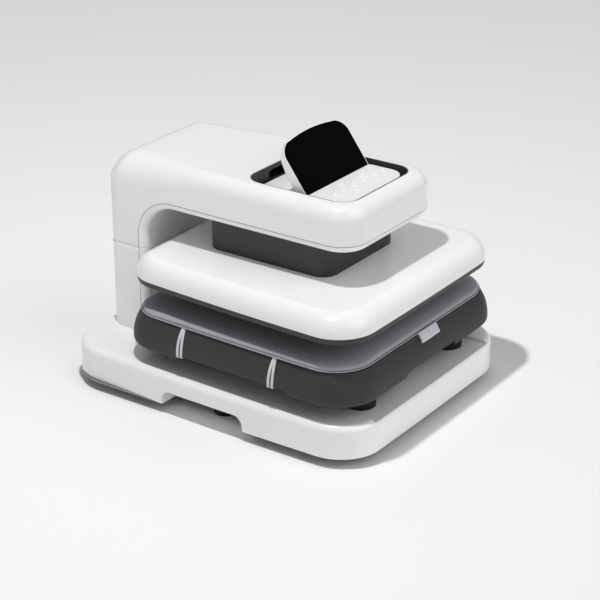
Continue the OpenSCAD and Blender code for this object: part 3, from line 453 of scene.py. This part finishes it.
def morph(cad, seen, middle):
    # moves points from the CAD outline to the photographed one, and leaves the inner features where they are
    cadAngle, cadFar = polar(planRing(cad, side=morphLook["side"]))
    seenAngle, seenFar = polar(planRing(seen, side=morphLook["side"]))

    def warp(points):
        x, y = points[:, 0], points[:, 1] - middle
        angle = np.arctan2(y, x)
        edge = np.interp(angle, cadAngle, cadFar, period=2 * math.pi)
        goal = np.interp(angle, seenAngle, seenFar, period=2 * math.pi)
        share = np.clip((np.hypot(x, y) / edge - morphLook["still"]) / morphLook["fade"], 0, 1)
        grow = 1 + (goal / edge - 1) * share
        return np.column_stack([x * grow, y * grow + middle, points[:, 2]])

    return warp


def sideSlices(cad, middle, step=0.0185):
    def spread(reach, centre):
        count = int(reach / step)
        return [centre + reach * i / count for i in range(-count, count + 1)]

    return ([((x, 0, 0), (1, 0, 0)) for x in spread(cad["half"] - cad["corners"][0], 0.0)]
            + [((0, y, 0), (0, 1, 0)) for y in spread(cad["depth"] - cad["corners"][0], middle)])


for node, name, body, slot, cad, seen, middle in [
        ("base_cover", "baseShell", "stand", "white_shell", baseCad, baseSeen, 0.0),
        ("tray_shell", "trayShell", "tray", "charcoal_shell", trayCad, traySeen, trayMiddle),
        ("platen_cover", "platenShell", "platen", "white_shell", platenCad, platenSeen, platenMiddle),
        ("platen_rim", "platenRim", "platen", "dark_shell", platenCad, platenSeen, platenMiddle),
        ("heat_plate", "heatPlate", "platen", "heat_plate", platenCad, platenSeen, platenMiddle)]:
    shellPiece(node, name, body, slot, 0.0, morph(cad, seen, middle), sideSlices(cad, middle))


# Arm and column: a back further out and rounder than the CAD's, with a recess round the inlet and the switch

rearLook = dict(start=0.195, back=0.23275, out=0.0127, top=0.3364, half=0.1131, cadRound=0.022,
                fullRound=0.04, blend=(0.05, 0.19), blendCuts=9, roundCuts=5, panel=(0.068, 0.078, 0.134),
                wall=0.0025)


def roundOver(across, up, cadShare):
    # unit corner with a small rounding in, full quarter circle out; both inputs in 0..1 of the new radius
    inner = 1 - cadShare
    angle = np.arctan2(up, across)
    c, s = np.cos(angle), np.sin(angle)
    flat = 1 / np.maximum(np.maximum(c, s), 1e-9)
    root = inner ** 2 * (c + s) ** 2 - 2 * inner ** 2 + cadShare ** 2
    arc = inner * (c + s) + np.sqrt(np.maximum(root, 0))
    edge = np.where(np.minimum(c, s) <= inner * np.maximum(c, s), flat, arc)
    return np.where((across > 0) & (up > 0), 1 / edge, 1.0)


def rollEdge(side, end, z, top, big, cadRound):
    # the edge between a side that ends at end and the top, rolled over the radius big
    across, up = np.maximum(side - (end - big), 0) / big, np.maximum(z - (top - big), 0) / big
    grow = roundOver(across, up, cadRound / big)
    return (np.where(across > 0, end - big + across * big * grow, side),
            np.where((across > 0) & (up > 0), top - big + up * big * grow, z))


def rearWarp(look):
    def warp(points):
        x, y, z = points.T.copy()
        wide, low, high = look["panel"]
        inside = (np.clip((wide - np.abs(x)) / look["wall"], 0, 1)
                  * np.clip((np.minimum(z - low, high - z)) / look["wall"], 0, 1))
        y += np.where(y > look["start"], look["out"] * (1 - inside), 0.0)
        top, small, big = look["top"], look["cadRound"], look["fullRound"]
        y, z = rollEdge(y, look["back"] + look["out"], z, top, big, small)
        near, far = look["blend"]
        share = np.clip((points[:, 1] - near) / (far - near), 0, 1)
        grown = small + (big - small) * share * share * (3 - 2 * share)
        reach, z = rollEdge(np.abs(x), look["half"], z, top, grown, small)
        return np.column_stack([np.sign(x) * reach, y, z])

    return warp


def rearCuts(look):
    near, far = look["blend"]
    spare, count = look["fullRound"] - look["cadRound"], look["blendCuts"]
    cuts = [((0, near + (far - near) * i / count, 0), (0, 1, 0)) for i in range(count + 1)]
    for i in range(look["roundCuts"] + 1):
        at = look["fullRound"] - spare * i / look["roundCuts"]
        cuts += [((0, look["back"] - at, 0), (0, 1, 0)), ((0, 0, look["top"] - at), (0, 0, 1)),
                 ((look["half"] - at, 0, 0), (1, 0, 0)), ((at - look["half"], 0, 0), (1, 0, 0))]
    return cuts


def panelCuts(look):
    wide, low, high = look["panel"]
    cuts = [((side * (wide - step), 0, 0), (1, 0, 0)) for side in (-1, 1) for step in (0, look["wall"])]
    return cuts + [((0, 0, at), (0, 0, 1)) for at in (low, low + look["wall"], high - look["wall"], high)]


shellPiece("upper_cover", "armShell", "stand", "white_shell", 0.0007, rearWarp(rearLook), rearCuts(rearLook))
shellPiece("lower_cover", "columnShell", "stand", "white_shell", 0.0, rearWarp(rearLook), panelCuts(rearLook))
for node, name, body, slot, soft in [
        ("throat_liner", "throatShell", "stand", "white_shell", 0.0007),
        ("column_liner", "columnLiner", "stand", "white_shell", 0.0006),
        ("shroud", "shroudShell", "platen", "dark_shell", 0.0006),
        ("control_tub", "controlTub", "stand", "dark_shell", 0.0),
        ("key_panel", "keyPanel", "stand", "white_shell", 0.0),
        ("well_floor_plate", "wellFloor", "stand", "white_shell", 0.0004)]:
    shellPiece(node, name, body, slot, soft)


# Display: its upper edge bows and its back is rounded off

displayLook = dict(hinge=(0, -0.08925, 0.3259), tilt=53.5, lip=0.0035, back=-0.0085, pillow=0.0105,
                   pillowFrom=0.042, pillowOver=0.03, steps=7, grid=6)


def displayPlace(look):
    return Matrix.Translation(look["hinge"]) @ Matrix.Rotation(math.radians(look["tilt"]), 4, "X")


def displayWarp(look):
    place = displayPlace(look)
    into, out = np.array(place.inverted()), np.array(place)
    middle = displayCad["depth"]
    shape = morph(displayCad, displaySeen, middle)

    def warp(points):
        local = points @ into[:3, :3].T + into[:3, 3]
        local = shape(local)
        depth = np.clip((look["lip"] - local[:, 2]) / (look["lip"] - look["back"]), 0, 1)
        inset = look["pillow"] * (1 - np.sqrt(1 - depth ** 2))
        rise = np.clip((local[:, 1] - look["pillowFrom"]) / look["pillowOver"], 0, 1)
        local[:, 0] *= 1 - inset * rise / displayCad["half"]
        local[:, 1] -= inset * rise * np.clip((local[:, 1] - middle) / middle, 0, 1)
        return local @ out[:3, :3].T + out[:3, 3]

    return warp


def displayCuts(look):
    # cutting planes (point, normal) square to the display: across, up and through it
    place, grid = displayPlace(look), look["grid"]
    half, depth = displayCad["half"], displayCad["depth"]
    cuts = []
    for i in range(1, 2 * grid):
        cuts.append(((-half + half * i / grid, 0, 0), (1, 0, 0)))
        cuts.append(((0, depth * i / grid, 0), (0, 1, 0)))
    for i in range(1, look["steps"]):
        z = look["back"] + (look["lip"] - look["back"]) * (i / look["steps"]) ** 2
        cuts.append(((0, 0, z), (0, 0, 1)))
    return [(place @ Vector(at), place.to_3x3() @ Vector(way)) for at, way in cuts]


for node, name, slot in [("display_back", "displayShell", "white_shell"),
                         ("display_glass", "displayGlass", "screen_glass")]:
    shellPiece(node, name, "display", slot, 0.0, displayWarp(displayLook), displayCuts(displayLook))
print("shells made")


# Pad: a stuffed cloth cushion, blown up by cloth simulation

padLook = dict(bottom=0.1364, top=0.1451, edge=0.0048, roll=8, insets=(0.12, 0.06, 0.02), voxel=0.0042,
               pressure=4.0, frames=20, cap=0.0018, fill=0.7)


def padPlan(inset):
    return planRing(padSeen, inset) + np.array([0, trayMiddle])


def padForm(look):
    # closed slab with rounded edges, as rings from the middle of the underside to the middle of the top
    edge, low, high = look["edge"], look["bottom"], look["top"]
    rings = [(inset, low) for inset in look["insets"]] + [(edge, low)]
    for i in range(1, look["roll"] + 1):
        a = math.pi * i / look["roll"]
        rings.append((edge - edge * math.sin(a), (low + high) / 2 - (high - low) / 2 * math.cos(a)))
    rings += [(inset, high) for inset in look["insets"][::-1]]
    points, faces = [], []
    for inset, z in rings:
        points += [(x, y, z) for x, y in padPlan(inset)]
    count = len(padPlan(0))
    for r in range(len(rings) - 1):
        for i in range(count):
            j = (i + 1) % count
            faces.append((r * count + i, r * count + j, (r + 1) * count + j, (r + 1) * count + i))
    faces.append(tuple(range(count))[::-1])
    faces.append(tuple(range((len(rings) - 1) * count, len(rings) * count)))
    return plainMesh("padCushion", points, faces)


def inflate(thing, look):
    # voxel remesh, then cloth pressure, with each point's travel capped
    bpy.context.view_layer.objects.active = thing
    thing.select_set(True)
    thing.data.remesh_voxel_size = look["voxel"]
    bpy.ops.object.voxel_remesh()
    rest = np.zeros(len(thing.data.vertices) * 3)
    thing.data.vertices.foreach_get("co", rest)
    cloth = thing.modifiers.new("stuffing", "CLOTH")
    cloth.settings.use_pressure = True
    cloth.settings.uniform_pressure_force = look["pressure"]
    cloth.settings.effector_weights.gravity = 0
    cloth.point_cache.frame_start, cloth.point_cache.frame_end = 1, look["frames"]
    for number in range(1, look["frames"] + 1):
        scene.frame_set(number)
    state = thing.evaluated_get(bpy.context.evaluated_depsgraph_get()).data
    blown = np.zeros(len(rest))
    state.vertices.foreach_get("co", blown)
    thing.modifiers.remove(cloth)
    scene.frame_set(1)
    move = (blown - rest).reshape(-1, 3)
    length = np.linalg.norm(move, axis=1, keepdims=True)
    move *= np.minimum(1, look["cap"] / np.maximum(length, 1e-9))
    final = rest.reshape(-1, 3) + move
    final[:, 2] = np.maximum(final[:, 2], look["bottom"])
    thing.data.vertices.foreach_set("co", final.ravel())
    thing.data.update()


def makePad(look):
    mesh = padForm(look)
    thing = bpy.data.objects.new("padCushion", mesh)
    scene.collection.objects.link(thing)
    inflate(thing, look)
    finer = thing.modifiers.new("finer", "SUBSURF")
    finer.levels = finer.render_levels = 1
    mesh.materials.append(finishes["pad_cloth"])
    thing.data.polygons.foreach_set("use_smooth", [True] * len(thing.data.polygons))
    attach(thing, "tray")
    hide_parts("pad")
    return thing


makePad(padLook)
print("pad made")


# Geometry Nodes: what repeats or follows a path

def newTree(name, inputs):
    tree = bpy.data.node_groups.new(name, "GeometryNodeTree")
    tree.interface.new_socket("Geometry", in_out="INPUT", socket_type="NodeSocketGeometry")
    for label, kind in inputs.items():
        tree.interface.new_socket(label, in_out="INPUT", socket_type="NodeSocket" + kind)
    tree.interface.new_socket("Geometry", in_out="OUTPUT", socket_type="NodeSocketGeometry")
    start = tree.nodes.new("NodeGroupInput")
    ends = {label: Wire(tree, start.outputs[label]) for label in ["Geometry", *inputs]}
    return tree, ends


def closeTree(tree, made, material):
    real = addNode(tree, "GeometryNodeRealizeInstances", {}, {"Geometry": made})
    coated = addNode(tree, "GeometryNodeSetMaterial", {}, {"Geometry": real, "Material": material})
    end = tree.nodes.new("NodeGroupOutput")
    tree.links.new(coated.socket, end.inputs["Geometry"])
    return tree


def grownPiece(name, seed, tree, values, body, slot):
    # runs a tree on a seed mesh and keeps the result as a plain mesh
    thing = bpy.data.objects.new(name + "Seed", seed)
    scene.collection.objects.link(thing)
    grow = thing.modifiers.new("grow", "NODES")
    grow.node_group = tree
    for item in tree.interface.items_tree:
        if item.in_out == "INPUT" and item.name in values:
            grow[item.identifier] = values[item.name]
    bpy.context.view_layer.update()
    graph = bpy.context.evaluated_depsgraph_get()
    mesh = bpy.data.meshes.new_from_object(thing.evaluated_get(graph))
    mesh.name = name
    bpy.data.objects.remove(thing)
    smoothByAngle(mesh, sharpAngle["grown"])
    return addPiece(name, mesh, body, slot)


def pathMesh(name, points, closed=False):
    mesh = bpy.data.meshes.new(name)
    count = len(points)
    edges = [(i, (i + 1) % count) for i in range(count if closed else count - 1)]
    mesh.from_pydata([tuple(p) for p in points], edges, [])
    return mesh


def pipingTree():
    tree, ends = newTree("piping", {"Width": "Float", "Height": "Float", "Material": "Material"})
    path = addNode(tree, "GeometryNodeMeshToCurve", {}, {0: ends["Geometry"]})
    ring = addNode(tree, "GeometryNodeCurvePrimitiveCircle", {}, {"Resolution": 10, "Radius": ends["Width"]})
    size = addNode(tree, "ShaderNodeCombineXYZ", {}, {"X": 1.0, "Y": ends["Height"], "Z": 1.0})
    flat = addNode(tree, "GeometryNodeTransform", {}, {"Geometry": ring, "Scale": size})
    tube = addNode(tree, "GeometryNodeCurveToMesh", {}, {"Curve": path, "Profile Curve": flat})
    return closeTree(tree, tube, ends["Material"])


def stitchTree():
    tree, ends = newTree("stitches", {"Pitch": "Float", "Size": "Vector", "Material": "Material"})
    path = addNode(tree, "GeometryNodeMeshToCurve", {}, {0: ends["Geometry"]})
    marks = addNode(tree, "GeometryNodeResampleCurve", {"mode": "LENGTH"},
                    {"Curve": path, "Length": ends["Pitch"]})
    tangent = addNode(tree, "GeometryNodeInputTangent")
    turn = addNode(tree, "FunctionNodeAlignRotationToVector", {"axis": "X"}, {"Vector": tangent})
    bead = addNode(tree, "GeometryNodeMeshUVSphere", {}, {"Segments": 8, "Rings": 5, "Radius": 0.5})
    laid = addNode(tree, "GeometryNodeInstanceOnPoints", {},
                   {"Points": marks, "Instance": bead, "Rotation": turn, "Scale": ends["Size"]})
    return closeTree(tree, laid, ends["Material"])


def ringTree():
    tree, ends = newTree("touchRings", {"Radius": "Float", "Wire": "Float", "Material": "Material"})
    path = addNode(tree, "GeometryNodeCurvePrimitiveCircle", {}, {"Resolution": 28, "Radius": ends["Radius"]})
    wire = addNode(tree, "GeometryNodeCurvePrimitiveCircle", {}, {"Resolution": 8, "Radius": ends["Wire"]})
    ring = addNode(tree, "GeometryNodeCurveToMesh", {}, {"Curve": path, "Profile Curve": wire})
    laid = addNode(tree, "GeometryNodeInstanceOnPoints", {},
                   {"Points": ends["Geometry"], "Instance": ring, "Scale": (1, 1, 0.6)})
    return closeTree(tree, laid, ends["Material"])


hemLook = dict(inset=0.0012, z=0.1382, width=0.0012, height=0.8, stitch=0.0032,
               stitchSize=(0.0022, 0.0005, 0.0005), stitchInset=-0.0002, stitchZ=0.1399)
hemPath = [(x, y, hemLook["z"]) for x, y in padPlan(hemLook["inset"])]
grownPiece("padHem", pathMesh("padHemPath", hemPath, True), pipingTree(),
           {"Width": hemLook["width"], "Height": hemLook["height"], "Material": finishes["pad_cloth"]},
           "tray", "pad_cloth")
stitchPath = [(x, y, hemLook["stitchZ"]) for x, y in padPlan(hemLook["stitchInset"])]
grownPiece("padStitches", pathMesh("padStitchPath", stitchPath, True), stitchTree(),
           {"Pitch": hemLook["stitch"], "Size": hemLook["stitchSize"], "Material": finishes["pad_cloth"]},
           "tray", "pad_cloth")

seamLook = dict(half=0.11312, front=-0.18977, corner=0.042, z=0.2815, bend=0.061, bendY=0.12075, bendZ=0.2205,
                foot=0.0645, width=0.00022, steps=12)


def seamPath(look):
    # up the left side of the column, round the throat, round the arm's front and back down on the right
    left = [(look["bendY"] + look["bend"], look["foot"])]
    for i in range(look["steps"] + 1):
        a = math.pi / 2 * i / look["steps"]
        left.append((look["bendY"] + look["bend"] * math.cos(a), look["bendZ"] + look["bend"] * math.sin(a)))
    path = [(-look["half"], y, z) for y, z in left]
    r = look["corner"]
    for side, turn in ((-1, 0), (1, 1)):
        for i in range(look["steps"] + 1):
            a = math.pi / 2 * (i / look["steps"] + turn)
            x, y = side * (look["half"] - r) - r * math.cos(a), look["front"] + r - r * math.sin(a)
            path.append((x, y, look["z"]))
    return path + [(look["half"], y, z) for y, z in left[::-1]]


# a thin dark grey tube along the parting line between the white shells: painted shade standing in for the
# shadow in that groove
grownPiece("partingSeam", pathMesh("partingSeamPath", seamPath(seamLook)), pipingTree(),
           {"Width": seamLook["width"], "Height": 1.0, "Material": finishes["dark_shell"]},
           "stand", "dark_shell")

keyLook = dict(radius=0.0044, wire=0.0011, top=0.3314,
               marks=[(-52.3, -124.1), (-16.6, -109.7), (-30.8, -124.5), (-5.9, -125.1), (-18.7, -137.8),
                      (31.6, -112.3), (18.8, -125.0), (43.8, -124.8), (31.5, -139.2), (66.2, -125.6)])
keySeed = pathMesh("keyMarks", [(x * mm, y * mm, keyLook["top"]) for x, y in keyLook["marks"]])
grownPiece("touchRings", keySeed, ringTree(),
           {"Radius": keyLook["radius"], "Wire": keyLook["wire"], "Material": finishes["white_shell"]},
           "stand", "white_shell")
print("hem, stitches, parting seam and key rings made")


# Straps and label: flat tape over the tray's shoulder

shoulderLook = dict(radius=0.065, centreZ=0.098, top=0.1372, low=0.0965)


def shoulderPath(half, lift, start, stop, steps):
    # points (out, z) down the tray's shoulder, held off by lift; out is the distance from the tray's middle
    look = shoulderLook
    points = []
    for i in range(steps + 1):
        z = start + (stop - start) * i / steps
        rise = max(z - look["centreZ"], 0) / look["radius"]
        cosine = math.sqrt(max(1 - rise * rise, 0))
        points.append((half - look["radius"] + (look["radius"] + lift) * cosine, z + lift * rise))
    return points


def tapeMesh(name, centres, sides, outs, width, thick):
    # closed tape: a flat oval section carried along its path, with a UV map across and along
    section = [(-0.5, -0.3), (-0.5, 0.3), (-0.3, 0.5), (0, 0.5), (0.3, 0.5), (0.5, 0.3), (0.5, -0.3),
               (0, -0.5)]
    points, faces, uvs = [], [], []
    far = 0.0
    for i, centre in enumerate(centres):
        far += (centre - centres[i - 1]).length if i else 0.0
        for a, b in section:
            points.append(centre + sides[i] * (a * width) + outs[i] * (b * thick))
            uvs.append(((a + 0.5) * width / ribbonLook["tape"], far))
    count = len(section)
    for i in range(len(centres) - 1):
        for j in range(count):
            k = (j + 1) % count
            faces.append((i * count + j, (i + 1) * count + j, (i + 1) * count + k, i * count + k))
    faces.append(tuple(range(count)))
    faces.append(tuple(reversed(range((len(centres) - 1) * count, len(centres) * count))))
    mesh = plainMesh(name, points, faces)
    layer = mesh.uv_layers.new(name="UVMap")
    for loop in mesh.loops:
        layer.data[loop.index].uv = uvs[loop.vertex_index]
    bm = bmesh.new()
    bm.from_mesh(mesh)
    bmesh.ops.recalc_face_normals(bm, faces=bm.faces)
    bm.to_mesh(mesh)
    bm.free()
    smoothByAngle(mesh, sharpAngle["tape"])
    return mesh


strapLook = dict(width=0.0042, thick=0.001, lift=0.0008, strandLift=0.0006, steps=22, gather=0.0014,
                 open=0.0058, flare=0.7, belly=0.0016, places=(-0.0708, 0.0897),
                 tuck=((0.0008, 0.001), (0.0028, 0.0012), (0.008, 0.0006)))


def headings(centres):
    last = len(centres) - 1
    return [(centres[min(i + 1, last)] - centres[max(i - 1, 0)]).normalized() for i in range(last + 1)]


def strapMesh(look, side, place, strand):
    centres, outs, sides = [], [], []
    lift = look["lift"] + (look["strandLift"] if strand > 0 else 0)
    path = shoulderPath(halfWidth(traySeen, place), lift, shoulderLook["top"], shoulderLook["low"],
                        look["steps"])
    path += [(path[-1][0] - back, path[-1][1] - drop) for back, drop in look["tuck"]]
    for i, (out, z) in enumerate(path):
        t = min(i / look["steps"], 1.0)
        apart = look["gather"] + (look["open"] - look["gather"]) * t ** look["flare"]
        apart += look["belly"] * math.sin(math.pi * t)
        centres.append(Vector((side * out, trayMiddle + place + strand * apart / 2, z)))
    for along in headings(centres):
        out = along.cross(Vector((0, 1, 0)))
        out = out if out.x * side > 0 else -out
        outs.append(out.normalized())
        sides.append(along.cross(outs[-1]).normalized())
    return tapeMesh("strap", centres, sides, outs, look["width"], look["thick"])


def joinMeshes(name, meshes):
    bm = bmesh.new()
    for mesh in meshes:
        bm.from_mesh(mesh)
    joined = bpy.data.meshes.new(name)
    bm.to_mesh(joined)
    bm.free()
    smoothByAngle(joined, sharpAngle["tape"])
    return joined


strapMeshes = [strapMesh(strapLook, side, place, strand) for side in (-1, 1) for place in strapLook["places"]
               for strand in (-1, 1)]
addPiece("elasticStraps", joinMeshes("elasticStraps", strapMeshes), "tray", "white_ribbon", "elastic_straps")

labelLook = dict(middle=0.003, width=0.047, thick=0.0009, lift=0.0011, top=0.1378, low=0.1265, steps=12,
                 fold=0.0016, foldDrop=0.0012, foldSteps=6)


def labelMesh(look):
    # tape folded double: down the shoulder, round the fold and back up behind
    half = traySeen["depth"]
    front = shoulderPath(half, look["lift"] + look["fold"], look["top"], look["low"], look["steps"])
    rear = shoulderPath(half, look["lift"], look["top"], look["low"], look["steps"])
    turn = []
    (fo, fz), (ro, rz) = front[-1], rear[-1]
    for i in range(1, look["foldSteps"]):
        a = math.pi * i / look["foldSteps"]
        turn.append(((fo + ro) / 2 + (fo - ro) / 2 * math.cos(a),
                     (fz + rz) / 2 - look["foldDrop"] * math.sin(a)))
    path = front + turn + rear[::-1]
    centres = [Vector((look["middle"], trayMiddle - out, z)) for out, z in path]
    across = Vector((1, 0, 0))
    outs = [across.cross(along).normalized() for along in headings(centres)]
    return tapeMesh("sewnLabel", centres, [across] * len(centres), outs, look["width"], look["thick"])


addPiece("sewnLabel", labelMesh(labelLook), "tray", "white_ribbon", "sewn_label")
print("straps and label made")


# Floor and studio light

floorLook = dict(half=14.0, colour=(0.9, 0.9, 0.9), shade=(0.893, 0.893, 0.893), patch=3, rough=0.9)


def floorFinish(look):
    f = Finish("paleFloor")
    f.put(Base_Color=f.blend(f.noise(look["patch"], 2), look["colour"], look["shade"]),
          Roughness=look["rough"], Specular_IOR_Level=0.0)
    return f.material


def makeFloor(look):
    half = look["half"]
    mesh = plainMesh("studioFloor", [(-half, -half, 0), (half, -half, 0), (half, half, 0), (-half, half, 0)],
                     [(0, 1, 2, 3)])
    mesh.materials.append(floorFinish(look))
    floor = bpy.data.objects.new("studioFloor", mesh)
    scene.collection.objects.link(floor)


lightLook = dict(keyPlace=(-0.335, -0.055, 1.296), keyStrength=22.6, keyRadius=0.03,
                 frontTravel=(-0.15, 1.0, -0.8), frontStrength=0.72, frontAngle=50.0, surround=0.335)


def makeSun(name, travel, strength, angle):
    data = bpy.data.lights.new(name, "SUN")
    data.energy, data.angle = strength, math.radians(angle)
    sun = bpy.data.objects.new(name, data)
    sun.rotation_euler = Vector(travel).to_track_quat("-Z", "Y").to_euler()
    scene.collection.objects.link(sun)


def makeKey(name, look):
    # near lamp over the left side whose light does not fade with distance
    data = bpy.data.lights.new(name, "POINT")
    data.energy, data.shadow_soft_size = look["keyStrength"], look["keyRadius"]
    data.use_nodes = True
    glow = next(n for n in data.node_tree.nodes if n.type == "EMISSION")
    even = addNode(data.node_tree, "ShaderNodeLightFalloff", {}, {"Strength": 1.0}, "Constant")
    data.node_tree.links.new(even.socket, glow.inputs["Strength"])
    lamp = bpy.data.objects.new(name, data)
    lamp.location = look["keyPlace"]
    scene.collection.objects.link(lamp)


def makeLight(look):
    makeKey("keyLight", look)
    makeSun("frontLight", look["frontTravel"], look["frontStrength"], look["frontAngle"])
    world = bpy.data.worlds.new("paleStudio")
    world.use_nodes = True
    sky = next(n for n in world.node_tree.nodes if n.type == "BACKGROUND")
    sky.inputs["Color"].default_value = (1, 1, 1, 1)
    sky.inputs["Strength"].default_value = look["surround"]
    scene.world = world
    scene.view_settings.view_transform = "Standard"


makeFloor(floorLook)
makeLight(lightLook)
print("floor and light made")
